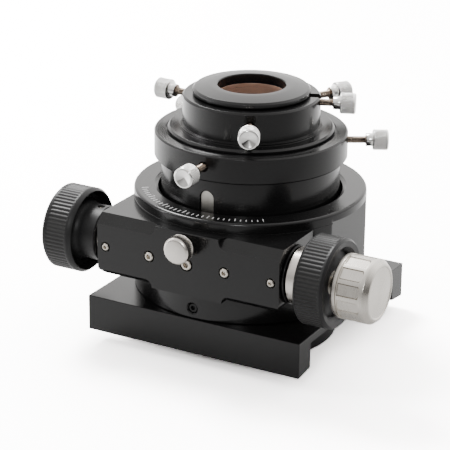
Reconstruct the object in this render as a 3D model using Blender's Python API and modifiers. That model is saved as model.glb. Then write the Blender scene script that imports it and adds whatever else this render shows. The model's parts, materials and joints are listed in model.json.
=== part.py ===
"""A 3 inch dual-speed Crayford telescope focuser on a square saddle base, made of separate pieces.

All pieces hang on one empty at the optical axis. Heights below are measured from the saddle's feet and
distances from the optical axis. The focuser stands on the lower end of its drawtube, below the feet.
An azimuth of 0 points to the front (-Y), and 90 to the fine focus knob (+X).
"""

import math

import bmesh
import bpy
from mathutils import Matrix, Vector

MM = 0.001
GAP = 0.3 * MM  # left between pieces that touch
SLIVER = 0.1 * MM  # keeps two joined shapes from sharing a plane
FRONT = Vector((0, -1, 0))
RIGHT = Vector((1, 0, 0))
UP = Vector((0, 0, 1))

# Frame: where the optical axis and the saddle's feet stand from the middle of the object's footprint
OPTICAL_X = -7.2 * MM
OPTICAL_Y = 7.35 * MM
FEET_Z = 6.0 * MM

# Saddle base
BASE_SIDE = 111.6 * MM
BASE_TOP = 17.3 * MM
BASE_UNDERSIDE = 13.5 * MM
LEG_INNER_Y = 44.1 * MM
LEG_SLANT = 1.4 * MM
CLEARANCE_RADIUS = 44.5 * MM

# Pivot collar and focuser body
COLLAR_RADIUS = 54.8 * MM
COLLAR_TOP = 30.3 * MM
SOCKET_RADIUS = 49.0 * MM
SPIGOT_RADIUS = 48.5 * MM
COLLAR_SCREW_Z = 22.2 * MM
BODY_RADIUS = 54.93 * MM
BODY_BOTTOM = 30.6 * MM
BODY_TOP = 66.4 * MM
BODY_BORE = 43.6 * MM
BODY_FLAT_X = 52.0 * MM
BODY_FLAT_TOP = 62.4 * MM
BLOCK_HALF = 47.3 * MM
BLOCK_FRONT = 60.4 * MM
BLOCK_BACK = 25.0 * MM
BLOCK_TOP = 61.0 * MM
BLOCK_BOTTOM = 32.0 * MM
BLOCK_BEVEL = 4.4 * MM
BLOCK_CHAMFER = 2.3 * MM
BLOCK_CORNER = 4.0 * MM
BLOCK_MIDDLE = 18.2 * MM

# Drive
DRIVE_Y = 45.5 * MM
DRIVE_Z = 45.8 * MM
SHAFT_RADIUS = 3.0 * MM
ROLLER_RADIUS = 4.28 * MM
CARRIER_RADIUS = 6.2 * MM
CARRIER_HALF = 36.5 * MM
LEFT_KNOB_RADIUS = 20.2 * MM
RIGHT_KNOB_RADIUS = 20.6 * MM
FINE_RADIUS = 14.7 * MM
BALL_RADIUS = 3.9 * MM
BALL_ORBIT = 5.0 * MM
BALL_X = 55.9 * MM
LOCK_Z = 55.5 * MM

# Drawtube and what it holds
TUBE_RADIUS = 42.13 * MM
TUBE_BORE = 38.4 * MM
TUBE_BOTTOM = -6.0 * MM
TUBE_TOP = 84.0 * MM
SLOT_HALF = 3.65 * MM
SLOT_TOP = 75.5 * MM
SLOT_FLOOR = 40.0 * MM
STRIP_FACE = 41.15 * MM
RING_RADIUS = 45.33 * MM
RING_SCREW_Z = 88.0 * MM
TWO_INCH_BORE = 25.5 * MM
TWO_INCH_SCREW_Z = 104.6 * MM
SMALL_BORE = 15.875 * MM
SMALL_SCREW_Z = 107.7 * MM
SMALL_SCREW_AZIMUTH = 112.0

# Guide bearings
BEARING_RADIUS = 5.0 * MM
BEARING_HALF_WIDTH = 2.0 * MM
BEARING_CENTRE = TUBE_RADIUS + BEARING_RADIUS + 0.08 * MM
BEARING_SPREAD = 35.0
BEARING_HEIGHTS = (37.5 * MM, 56.5 * MM)

# Thumb screws: name, azimuth, height, radius at the outer end of the head, radius at the tip
THUMB_SCREWS = (
    ("tube_screw_front", 0.0, RING_SCREW_Z, 63.4 * MM, 40.7 * MM),
    ("tube_screw_right", 120.0, RING_SCREW_Z, 64.3 * MM, 40.7 * MM),
    ("tube_screw_left", 240.0, RING_SCREW_Z, 64.0 * MM, 40.7 * MM),
    ("eyepiece_screw_front", 27.0, TWO_INCH_SCREW_Z, 51.0 * MM, 27.4 * MM),
    ("eyepiece_screw_right", 147.0, TWO_INCH_SCREW_Z, 52.6 * MM, 27.4 * MM),
    ("eyepiece_screw_left", 267.0, TWO_INCH_SCREW_Z, 52.0 * MM, 27.4 * MM),
    ("small_adapter_screw", SMALL_SCREW_AZIMUTH, SMALL_SCREW_Z, 48.5 * MM, 17.7 * MM),
)
HEAD_RADIUS = 4.9 * MM
NECK_RADIUS = 3.05 * MM
THREAD_RADIUS = 1.75 * MM

# Steps round a full turn
LARGE, MEDIUM, MIDDLE, SMALL = 44, 32, 20, 10

FINISHES = {
    "black_anodised": ((0.018, 0.018, 0.019, 1), 0.6, 0.3),
    "black_matte": ((0.02, 0.02, 0.021, 1), 0.0, 0.6),
    "silver": ((0.72, 0.70, 0.66, 1), 1.0, 0.3),
    "chrome": ((0.85, 0.85, 0.85, 1), 1.0, 0.12),
    "steel": ((0.45, 0.43, 0.40, 1), 1.0, 0.35),
    "brass": ((0.60, 0.36, 0.24, 1), 1.0, 0.35),
    "bronze": ((0.50, 0.33, 0.18, 1), 1.0, 0.45),
    "nylon": ((0.80, 0.79, 0.74, 1), 0.0, 0.5),
}


def clear_scene():
    for obj in list(bpy.data.objects):
        bpy.data.objects.remove(obj, do_unlink=True)


def new_collection(name):
    collection = bpy.data.collections.new(name)
    bpy.context.scene.collection.children.link(collection)
    return collection


clear_scene()
PARTS = new_collection("crayford_focuser")
CUTTERS = new_collection("cutters")
CUTTERS.hide_render = True
AXIS = bpy.data.objects.new("optical_axis", None)
AXIS.location = (OPTICAL_X, OPTICAL_Y, FEET_Z)
PARTS.objects.link(AXIS)


def finish_material(finish):
    material = bpy.data.materials.get(finish)
    if material:
        return material
    colour, metallic, roughness = FINISHES[finish]
    material = bpy.data.materials.new(finish)
    material.use_nodes = True
    shader = material.node_tree.nodes["Principled BSDF"]
    shader.inputs["Base Color"].default_value = colour
    shader.inputs["Metallic"].default_value = metallic
    shader.inputs["Roughness"].default_value = roughness
    return material


def add_object(name, mesh, finish):
    """Puts a mesh in the assembly, or among the cutters when it has no finish."""
    obj = bpy.data.objects.new(name, mesh)
    obj.parent = AXIS
    if finish:
        mesh.materials.append(finish_material(finish))
        PARTS.objects.link(obj)
    else:
        obj.hide_render = True
        obj.display_type = "WIRE"
        CUTTERS.objects.link(obj)
    return obj


def aim(obj, direction, location=(0, 0, 0)):
    """Turns the object's local Z to a direction and sets its place from the optical axis."""
    obj.location = location
    obj.rotation_euler = Vector(direction).to_track_quat("Z", "Y").to_euler()
    return obj


def outward(azimuth):
    angle = math.radians(azimuth)
    return Vector((math.sin(angle), -math.cos(angle), 0))


def turned(name, profile, finish=None, steps=LARGE):
    """Revolves (radius, height) points, which run down the outer side. A profile off the axis is closed."""
    edges = [(i, i + 1) for i in range(len(profile) - 1)]
    if profile[0][0] > 0:
        edges.append((len(profile) - 1, 0))
    mesh = bpy.data.meshes.new(name)
    mesh.from_pydata([(radius, 0, height) for radius, height in profile], edges, [])
    obj = add_object(name, mesh, finish)
    screw = obj.modifiers.new("turn", "SCREW")
    screw.steps = screw.render_steps = steps
    screw.use_merge_vertices = True
    screw.merge_threshold = 1e-6
    return obj


def rod(name, radius, low, high, finish=None, steps=SMALL):
    return turned(name, [(0, high), (radius, high), (radius, low), (0, low)], finish, steps)


def tube(name, outer, inner, low, high, finish=None, steps=MIDDLE):
    return turned(name, [(outer, high), (outer, low), (inner, low), (inner, high)], finish, steps)


def box(name, low, high, finish=None):
    mesh = bpy.data.meshes.new(name)
    shape = bmesh.new()
    low, high = Vector(low), Vector(high)
    place = Matrix.Translation((low + high) / 2) @ Matrix.Diagonal((*(high - low), 1))
    bmesh.ops.create_cube(shape, size=1, matrix=place)
    shape.to_mesh(mesh)
    shape.free()
    return add_object(name, mesh, finish)


def slab(name, outline, thickness, finish=None):
    """A flat outline of (x, y) points, with its thickness half on each side of local Z = 0."""
    curve = bpy.data.curves.new(name, "CURVE")
    curve.dimensions = "2D"
    curve.fill_mode = "BOTH"
    curve.extrude = thickness / 2
    spline = curve.splines.new("POLY")
    spline.points.add(len(outline) - 1)
    for point, (x, y) in zip(spline.points, outline):
        point.co = (x, y, 0, 1)
    spline.use_cyclic_u = True
    guide = bpy.data.objects.new(name + "_outline", curve)
    PARTS.objects.link(guide)
    bpy.context.view_layer.update()
    mesh = bpy.data.meshes.new_from_object(guide.evaluated_get(bpy.context.evaluated_depsgraph_get()))
    bpy.data.objects.remove(guide)
    shape = bmesh.new()
    shape.from_mesh(mesh)
    bmesh.ops.remove_doubles(shape, verts=shape.verts, dist=1e-6)
    bmesh.ops.recalc_face_normals(shape, faces=shape.faces)
    shape.to_mesh(mesh)
    shape.free()
    return add_object(name, mesh, finish)


def arc(centre, radius, start, end, count):
    """Points on an arc in the plane, from one angle to another in degrees."""
    angles = [math.radians(start + (end - start) * i / (count - 1)) for i in range(count)]
    return [(centre[0] + radius * math.cos(a), centre[1] + radius * math.sin(a)) for a in angles]


def slot_outline(half_width, low, top):
    return [(-half_width, low), (half_width, low)] + arc((0, top - half_width), half_width, 0, 180, 9)


def upright_slab(name, outline, inner_y, outer_y, finish=None):
    """A slab whose outline stands in the XZ plane, between two distances in front of the optical axis."""
    plate = slab(name, outline, outer_y - inner_y, finish)
    plate.rotation_euler = (math.pi / 2, 0, 0)
    plate.location = (0, -(inner_y + outer_y) / 2, 0)
    return plate


def combine(obj, other, operation="DIFFERENCE"):
    modifier = obj.modifiers.new(operation.lower(), "BOOLEAN")
    modifier.operation = operation
    modifier.solver = "EXACT"
    modifier.object = other
    return obj


def drive_axis_point():
    return Vector((0, -DRIVE_Y, DRIVE_Z))


# ---------------------------------------------------------------- saddle base and pivot collar


def make_base():
    half = BASE_SIDE / 2
    outline = [
        (-half, 0),
        (-LEG_INNER_Y, LEG_SLANT),
        (-LEG_INNER_Y, BASE_UNDERSIDE),
        (LEG_INNER_Y, BASE_UNDERSIDE),
        (LEG_INNER_Y, LEG_SLANT),
        (half, 0),
        (half, BASE_TOP),
        (-half, BASE_TOP),
    ]
    base = slab("saddle_base", outline, BASE_SIDE, "black_anodised")
    # The outline's x runs along Y and its y along Z.
    base.rotation_euler = (math.pi / 2, 0, math.pi / 2)
    combine(base, rod("base_opening", CLEARANCE_RADIUS, 10 * MM, 20 * MM, steps=LARGE))
    for index, (angle, radius) in enumerate(base_bolt_places()):
        cutter = turned("base_bolt_hole_%d" % index, base_bolt_profile(GAP), steps=SMALL)
        cutter.location = (radius * math.cos(angle), radius * math.sin(angle), 0)
        combine(base, cutter)
    for x in (-46 * MM, 46 * MM):
        for y in (-50 * MM, 50 * MM):
            cutter = rod("saddle_hole", 1.65 * MM, -2 * MM, 10 * MM)
            cutter.location = (x, y, 0)
            combine(base, cutter)


def base_bolt_places():
    return [(math.radians(angle), 51.9 * MM) for angle in (-45, 45, 135, 225)]


def base_bolt_profile(extra=0.0):
    """A countersunk screw from below, or its hole when extra clearance is asked for."""
    foot = BASE_UNDERSIDE + 0.2 * MM if extra == 0 else BASE_UNDERSIDE - 1 * MM
    return [
        (0, 23.5 * MM + extra),
        (1.25 * MM + extra, 23.5 * MM + extra),
        (1.25 * MM + extra, 15.1 * MM),
        (2.4 * MM + extra, 13.9 * MM),
        (2.4 * MM + extra, foot),
        (0, foot),
    ]


def make_collar():
    low = BASE_TOP + GAP
    collar = turned(
        "pivot_collar",
        [
            (COLLAR_RADIUS - 0.5 * MM, COLLAR_TOP),
            (COLLAR_RADIUS, COLLAR_TOP - 0.5 * MM),
            (COLLAR_RADIUS, low),
            (CLEARANCE_RADIUS, low),
            (CLEARANCE_RADIUS, low + 2 * MM),
            (SOCKET_RADIUS, low + 2 * MM),
            (SOCKET_RADIUS, COLLAR_TOP),
        ],
        "black_anodised",
    )
    for index, (angle, radius) in enumerate(base_bolt_places()):
        bolt = turned("base_bolt_%d" % (index + 1), base_bolt_profile(), "steel", SMALL)
        cutter = rod("collar_bolt_hole_%d" % index, 1.25 * MM + GAP, 10 * MM, 23.9 * MM)
        for obj in (bolt, cutter):
            obj.location = (radius * math.cos(angle), radius * math.sin(angle), 0)
        combine(collar, cutter)
    height = Vector((0, 0, COLLAR_SCREW_Z))
    for index, azimuth in enumerate((0, 120, 240)):
        hole = rod("collar_screw_hole", 2.5 * MM, 46 * MM, 58 * MM)
        combine(collar, aim(hole, outward(azimuth), height))
        cone_tip = [(2.2 * MM, 49.0 * MM), (0.6 * MM, 47.4 * MM), (0, 47.4 * MM)]
        profile = [(0, 54.0 * MM), (2.2 * MM, 54.0 * MM)] + cone_tip
        screw = turned("collar_screw_%d" % (index + 1), profile, "black_anodised", SMALL)
        aim(screw, outward(azimuth), height)


# ---------------------------------------------------------------- focuser body


def body_core():
    groove = 1.6 * MM
    return turned(
        "focuser_body",
        [
            (0, BODY_TOP),
            (53.6 * MM, BODY_TOP),
            (54.6 * MM, BODY_TOP - 0.5 * MM),
            (BODY_RADIUS, BODY_TOP - 1.4 * MM),
            (BODY_RADIUS, BODY_BOTTOM + SLIVER),
            (SPIGOT_RADIUS, BODY_BOTTOM + SLIVER),
            (SPIGOT_RADIUS, COLLAR_SCREW_Z + 2.4 * MM),
            (SPIGOT_RADIUS - groove, COLLAR_SCREW_Z + 0.8 * MM),
            (SPIGOT_RADIUS - groove, COLLAR_SCREW_Z - 0.8 * MM),
            (SPIGOT_RADIUS, COLLAR_SCREW_Z - 2.0 * MM),
            (SPIGOT_RADIUS, 19.9 * MM),
            (0, 19.9 * MM),
        ],
        "black_anodised",
    )


def wing_section():
    """The drive block's section across X: a wide bevel along the top front edge and a chamfer below."""
    return [
        (-BLOCK_FRONT, BLOCK_BOTTOM + BLOCK_CHAMFER),
        (-BLOCK_FRONT + BLOCK_CHAMFER, BLOCK_BOTTOM),
        (-BLOCK_BACK, BLOCK_BOTTOM),
        (-BLOCK_BACK, BLOCK_TOP),
        (-BLOCK_FRONT + 0.4 * MM, BLOCK_TOP),
        (-BLOCK_FRONT, BLOCK_TOP - 0.4 * MM),
    ]


def bevel_cutter(side):
    """The milled bevel along one wing's top front edge, with the round run-out of its cutter."""
    width = BLOCK_BEVEL * math.sqrt(2)
    run_out = arc((19.5 * MM, 0), width / 2, 270, 90, 9)
    far = BLOCK_HALF + 5 * MM
    outline = [(far, -width / 2)] + run_out + [(far, width / 2)]
    cutter = slab("bevel_cutter", [(side * x, y) for x, y in outline], 8 * MM)
    # Local X stays along X, and local Z leans 45 degrees up and to the front.
    cutter.rotation_euler = (math.radians(45), 0, 0)
    reach = 4 * MM / math.sqrt(2)
    middle = BLOCK_BEVEL / 2
    cutter.location = (0, -BLOCK_FRONT + middle - reach, BLOCK_TOP - middle + reach)
    return cutter


def corner_cutter(side):
    """What is outside the rounded lower corner at one end of the block."""
    x, z = BLOCK_HALF - BLOCK_CORNER, BLOCK_BOTTOM + BLOCK_CORNER
    far, low = BLOCK_HALF + 1 * MM, BLOCK_BOTTOM - 1 * MM
    outline = [(x, low), (far, low), (far, z)] + arc((x, z), BLOCK_CORNER, 0, -90, 6)
    return upright_slab("corner_cutter", [(side * x, z) for x, z in outline], 20 * MM, 70 * MM)


def make_body():
    body = body_core()
    for side in (-1, 1):
        flat = box("side_flat", (-3 * MM, -40 * MM, 20 * MM), (3 * MM, 40 * MM, BODY_FLAT_TOP))
        flat.location.x = side * (BODY_FLAT_X + 3 * MM)
        combine(body, flat)
    block = slab("block", wing_section(), 2 * BLOCK_HALF)
    block.rotation_euler = (math.pi / 2, 0, math.pi / 2)
    combine(body, block, "UNION")
    low, high = BODY_BOTTOM, BLOCK_BOTTOM + BLOCK_CHAMFER
    round_off = high - low
    foot = (
        arc((-BLOCK_MIDDLE - round_off, low), round_off, 90, 0, 7)
        + arc((BLOCK_MIDDLE + round_off, low), round_off, 180, 90, 7)
        + [(BLOCK_MIDDLE + round_off, high + 3 * MM), (-BLOCK_MIDDLE - round_off, high + 3 * MM)]
    )
    foot_depth = BLOCK_FRONT - BODY_BORE - 2 * MM
    apron = slab("block_apron", foot, foot_depth)
    apron.rotation_euler = (math.pi / 2, 0, 0)
    apron.location = (0, -BLOCK_FRONT + foot_depth / 2, 0)
    combine(body, apron, "UNION")
    for side in (-1, 1):
        combine(body, bevel_cutter(side))
        combine(body, corner_cutter(side))
    mouth = BODY_BORE + 1.6 * MM
    bore = [(0, BODY_TOP + 1 * MM), (mouth, BODY_TOP + 1 * MM), (BODY_BORE, BODY_TOP - 0.6 * MM)]
    combine(body, turned("body_bore", bore + [(BODY_BORE, 15 * MM), (0, 15 * MM)]))
    drive_bore = rod("drive_bore", 6.5 * MM, -60 * MM, 60 * MM, steps=MIDDLE)
    combine(body, aim(drive_bore, RIGHT, drive_axis_point()))
    for azimuth, height, tangent in bearing_places():
        centre = outward(azimuth) * BEARING_CENTRE + UP * height
        pocket = box(
            "bearing_pocket",
            (-5.6 * MM, -5.9 * MM, -BEARING_HALF_WIDTH - 0.45 * MM),
            (5.6 * MM, 5.3 * MM, BEARING_HALF_WIDTH + 0.45 * MM),
        )
        # Local Z lies along the axle, local X upright and local Y outward.
        pocket.matrix_local = frame_at(centre, tangent, UP)
        combine(body, pocket)
        combine(body, aim(rod("axle_hole", 1.8 * MM, -6.1 * MM, 32 * MM), tangent, centre))
    for x, radius, _ in front_screw_places().values():
        cutter = rod("front_screw_hole", radius + GAP, DRIVE_Y, 62 * MM)
        combine(body, aim(cutter, FRONT, (x, 0, DRIVE_Z)))
    lock = Vector((0, 0, LOCK_Z))
    combine(body, aim(rod("lock_screw_hole", 2.3 * MM, 40 * MM, 62 * MM), FRONT, lock))
    combine(body, aim(rod("lock_pad_hole", 2.7 * MM, 40 * MM, 47.9 * MM), FRONT, lock))
    return body


def frame_at(centre, z_direction, x_direction):
    """A matrix with local Z and X along two square directions."""
    y_direction = z_direction.cross(x_direction)
    turn = Matrix((x_direction, y_direction, z_direction)).transposed()
    return Matrix.Translation(centre) @ turn.to_4x4()


def front_screw_places():
    """The set screws on the block's front face, as name: (x, radius, tip)."""
    return {
        "bushing_screw_left": (-43 * MM, 1.7 * MM, 52.1 * MM),
        "bushing_screw_right": (43 * MM, 1.7 * MM, 52.1 * MM),
        "carrier_screw_left": (-19.6 * MM, 2.1 * MM, 52.1 * MM),
        "carrier_screw_right": (19.6 * MM, 2.1 * MM, 52.1 * MM),
        "tension_screw": (0.0, 2.6 * MM, 52.1 * MM),
    }


def make_front_screws():
    for name, (x, radius, tip) in front_screw_places().items():
        aim(rod(name, radius, tip, 60.9 * MM, "steel"), FRONT, (x, 0, DRIVE_Z))


# ---------------------------------------------------------------- guide bearings


def bearing_places():
    """(azimuth, height, axle direction) of the four guide bearings, at the back of the drawtube."""
    places = []
    for side in (-1, 1):
        azimuth = 180 + side * BEARING_SPREAD
        tangent = outward(azimuth).cross(UP) * -side
        places += [(azimuth, height, tangent) for height in BEARING_HEIGHTS]
    return places


def make_bearings():
    for index, (azimuth, height, tangent) in enumerate(bearing_places()):
        centre = outward(azimuth) * BEARING_CENTRE + UP * height
        bearing = tube(
            "guide_bearing_%d" % (index + 1),
            BEARING_RADIUS,
            1.62 * MM,
            -BEARING_HALF_WIDTH,
            BEARING_HALF_WIDTH,
            "steel",
        )
        axle = rod("bearing_axle_%d" % (index + 1), 1.5 * MM, -5.8 * MM, 5.8 * MM, "steel")
        for obj in (bearing, axle):
            aim(obj, tangent, centre)


# ---------------------------------------------------------------- drive


def make_shaft_carrier():
    carrier = rod("shaft_carrier", CARRIER_RADIUS, -CARRIER_HALF, CARRIER_HALF, "black_anodised", MEDIUM)
    aim(carrier, RIGHT, drive_axis_point())
    combine(carrier, rod("carrier_relief", BODY_BORE - GAP, 20 * MM, 70 * MM, steps=LARGE))
    carrier_bore = rod("carrier_bore", 3.4 * MM, -60 * MM, 60 * MM, steps=MIDDLE)
    combine(carrier, aim(carrier_bore, RIGHT, drive_axis_point()))
    roller_room = rod("roller_room", ROLLER_RADIUS + 0.5 * MM, -3.6 * MM, 3.6 * MM, steps=MIDDLE)
    combine(carrier, aim(roller_room, RIGHT, drive_axis_point()))
    for name, low in (("shaft_bushing_left", -46.9 * MM), ("shaft_bushing_right", 36.9 * MM)):
        bushing = tube(name, CARRIER_RADIUS, SHAFT_RADIUS + 0.1 * MM, low, low + 10 * MM, "bronze")
        aim(bushing, RIGHT, drive_axis_point())


def make_end_caps():
    cap = tube("end_cap_right", 13.6 * MM, 3.5 * MM, 47.6 * MM, 48.6 * MM, "black_anodised")
    aim(cap, RIGHT, drive_axis_point())
    cap = tube("end_cap_left", 11.0 * MM, 3.5 * MM, -50.5 * MM, -47.6 * MM, "silver")
    aim(cap, RIGHT, drive_axis_point())


def make_coarse_drive():
    shaft = turned(
        "drive_shaft",
        [
            (0, 51.6 * MM),
            (8.0 * MM, 51.6 * MM),
            (8.0 * MM, 50.9 * MM),
            (SHAFT_RADIUS, 50.9 * MM),
            (SHAFT_RADIUS, 3.0 * MM),
            (ROLLER_RADIUS, 2.9 * MM),
            (ROLLER_RADIUS, -2.9 * MM),
            (SHAFT_RADIUS, -3.0 * MM),
            (SHAFT_RADIUS, -71 * MM),
            (0, -71 * MM),
        ],
        "steel",
        MIDDLE,
    )
    aim(shaft, RIGHT, drive_axis_point())
    left = turned(
        "coarse_knob_left",
        [
            (0, 72.8 * MM),
            (13.5 * MM, 72.8 * MM),
            (15.6 * MM, 75.3 * MM),
            (LEFT_KNOB_RADIUS - 1.1 * MM, 75.3 * MM),
            (LEFT_KNOB_RADIUS, 74.2 * MM),
            (LEFT_KNOB_RADIUS, 61.2 * MM),
            (LEFT_KNOB_RADIUS - 1.3 * MM, 59.6 * MM),
            (17.8 * MM, 63.6 * MM),
            (15.2 * MM, 63.6 * MM),
            (13.4 * MM, 60.6 * MM),
            (13.0 * MM, 57.4 * MM),
            (13.0 * MM, 50.9 * MM),
            (3.4 * MM, 50.9 * MM),
            (3.4 * MM, 71.4 * MM),
            (0, 71.4 * MM),
        ],
        "black_matte",
        MEDIUM,
    )
    aim(left, -RIGHT, drive_axis_point())
    grub_place = drive_axis_point() - RIGHT * 54.4 * MM
    combine(left, aim(rod("left_grub_hole", 1.8 * MM, 3.0 * MM, 14 * MM), UP, grub_place))
    aim(rod("knob_grub_left", 1.5 * MM, 3.6 * MM, 12.0 * MM, "steel"), UP, grub_place)
    right = turned(
        "coarse_knob_right",
        [
            (17.3 * MM, 70.7 * MM),
            (RIGHT_KNOB_RADIUS - 1.1 * MM, 70.7 * MM),
            (RIGHT_KNOB_RADIUS, 69.6 * MM),
            (RIGHT_KNOB_RADIUS, 57.3 * MM),
            (RIGHT_KNOB_RADIUS - 1.0 * MM, 56.3 * MM),
            (14.2 * MM, 56.3 * MM),
            (14.2 * MM, 62.0 * MM),
            (5.8 * MM, 62.0 * MM),
            (5.8 * MM, 66.8 * MM),
            (15.6 * MM, 66.8 * MM),
        ],
        "black_matte",
        MEDIUM,
    )
    aim(right, RIGHT, drive_axis_point())


def ball_object(name, finish):
    mesh = bpy.data.meshes.new(name)
    shape = bmesh.new()
    bmesh.ops.create_uvsphere(shape, u_segments=10, v_segments=6, radius=BALL_RADIUS)
    shape.to_mesh(mesh)
    shape.free()
    return add_object(name, mesh, finish)


def make_reducer():
    housing = turned(
        "reducer_housing",
        [
            (12.4 * MM, 60.7 * MM),
            (13.0 * MM, 60.1 * MM),
            (13.0 * MM, 49.5 * MM),
            (12.5 * MM, 48.9 * MM),
            (3.5 * MM, 48.9 * MM),
            (3.5 * MM, 50.5 * MM),
            (BALL_ORBIT + BALL_RADIUS + 0.15 * MM, 50.5 * MM),
            (BALL_ORBIT + BALL_RADIUS + 0.15 * MM, 60.7 * MM),
        ],
        "silver",
        MEDIUM,
    )
    aim(housing, RIGHT, drive_axis_point())
    carrier = turned(
        "planet_carrier",
        [
            (5.5 * MM, 66.5 * MM),
            (5.5 * MM, 61.5 * MM),
            (8.6 * MM, 61.5 * MM),
            (8.6 * MM, 60.3 * MM),
            (2.9 * MM, 60.3 * MM),
            (2.9 * MM, 66.5 * MM),
        ],
        "steel",
        MIDDLE,
    )
    aim(carrier, RIGHT, drive_axis_point())
    for index in range(3):
        turn = math.radians(120 * index + 60)
        pin = rod("planet_pin_%d" % index, 0.95 * MM, 51.9 * MM, 61.0 * MM)
        offset = Vector((0, math.cos(turn), math.sin(turn))) * 5.7 * MM
        combine(carrier, aim(pin, RIGHT, drive_axis_point() + offset), "UNION")
    for index in range(3):
        turn = math.radians(120 * index)
        ball = ball_object("planet_ball_%d" % (index + 1), "chrome")
        ball.location = drive_axis_point() + Vector(
            (BALL_X, math.cos(turn) * BALL_ORBIT, math.sin(turn) * BALL_ORBIT)
        )
    shaft = turned(
        "fine_shaft",
        [
            (0, 84.0 * MM),
            (2.5 * MM, 84.0 * MM),
            (2.5 * MM, 62.2 * MM),
            (1.0 * MM, 61.7 * MM),
            (1.0 * MM, 52.2 * MM),
            (0, 52.2 * MM),
        ],
        "steel",
        SMALL,
    )
    aim(shaft, RIGHT, drive_axis_point())
    knob = turned(
        "fine_knob",
        [
            (0, 89.6 * MM),
            (13.0 * MM, 88.8 * MM),
            (FINE_RADIUS, 87.3 * MM),
            (FINE_RADIUS, 72.6 * MM),
            (FINE_RADIUS - 0.8 * MM, 71.8 * MM),
            (2.8 * MM, 71.8 * MM),
            (2.8 * MM, 84.4 * MM),
            (0, 84.4 * MM),
        ],
        "silver",
        MEDIUM,
    )
    aim(knob, RIGHT, drive_axis_point())
    spot = drive_axis_point() + RIGHT * 80.4 * MM
    grub_way = Vector((0, -0.44, -0.9))
    combine(knob, aim(rod("fine_grub_hole", 1.3 * MM, 2.6 * MM, 16 * MM), grub_way, spot))
    aim(rod("fine_knob_grub", 1.0 * MM, 2.8 * MM, 13.6 * MM, "steel"), grub_way, spot)


def make_lock():
    lock = Vector((0, 0, LOCK_Z))
    knob = turned(
        "lock_knob",
        [
            (0, 70.2 * MM),
            (4.9 * MM, 70.5 * MM),
            (6.35 * MM, 69.5 * MM),
            (6.35 * MM, 64.6 * MM),
            (5.9 * MM, 64.1 * MM),
            (3.0 * MM, 64.1 * MM),
            (3.0 * MM, 62.2 * MM),
            (2.0 * MM, 62.2 * MM),
            (2.0 * MM, 47.6 * MM),
            (0, 47.6 * MM),
        ],
        "silver",
        MIDDLE,
    )
    aim(knob, FRONT, lock)
    aim(rod("brake_pad", 2.4 * MM, 41.75 * MM, 47.2 * MM, "nylon"), FRONT, lock)


# ---------------------------------------------------------------- drawtube, clamp ring, adapters


def make_drawtube():
    tube_piece = turned(
        "drawtube",
        [
            (TUBE_RADIUS, TUBE_TOP),
            (TUBE_RADIUS, TUBE_BOTTOM),
            (TUBE_BORE, TUBE_BOTTOM),
            (TUBE_BORE, TUBE_TOP),
        ],
        "black_anodised",
    )
    cutter = upright_slab("track_slot", slot_outline(SLOT_HALF, -3.5 * MM, SLOT_TOP), SLOT_FLOOR, 44 * MM)
    combine(tube_piece, cutter)
    low = -3.2 * MM
    strip = slot_outline(SLOT_HALF - GAP, low, SLOT_TOP - GAP)
    upright_slab("track_strip", strip, SLOT_FLOOR + GAP, STRIP_FACE, "steel")


def split_ring(name, outer, inner, low, high, gap_azimuth, gap_width):
    ring = tube(name, outer, inner, low, high, "brass", MEDIUM)
    gap = box(
        name + "_gap",
        (-gap_width / 2, inner / 2, low - 1 * MM),
        (gap_width / 2, outer + 2 * MM, high + 1 * MM),
    )
    # The gap box lies along local +Y, which azimuth 180 points to.
    gap.rotation_euler = (0, 0, math.radians(gap_azimuth - 180))
    combine(ring, gap)


def drill(piece, azimuth, height, low, high):
    cutter = rod("screw_hole", THREAD_RADIUS + GAP, low, high)
    combine(piece, aim(cutter, outward(azimuth), (0, 0, height)))


def make_clamp_ring():
    ring = turned(
        "clamp_ring",
        [
            (44.6 * MM, 93.7 * MM),
            (RING_RADIUS, 93.0 * MM),
            (RING_RADIUS, 81.9 * MM),
            (44.7 * MM, 81.2 * MM),
            (TUBE_RADIUS + GAP, 81.2 * MM),
            (TUBE_RADIUS + GAP, TUBE_TOP + GAP),
            (TUBE_BORE, TUBE_TOP + GAP),
            (TUBE_BORE, 85.8 * MM),
            (40.6 * MM, 85.8 * MM),
            (40.6 * MM, 90.4 * MM),
            (TUBE_BORE, 90.4 * MM),
            (TUBE_BORE, 92.9 * MM),
            (39.9 * MM, 92.9 * MM),
            (39.9 * MM, 93.7 * MM),
        ],
        "black_anodised",
    )
    for name, azimuth, height, _, _ in THUMB_SCREWS:
        if name.startswith("tube_screw"):
            drill(ring, azimuth, height, 39.5 * MM, 48 * MM)
    split_ring("compression_ring_3in", 40.3 * MM, 38.35 * MM, 86.1 * MM, 90.1 * MM, 180, 3 * MM)


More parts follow.
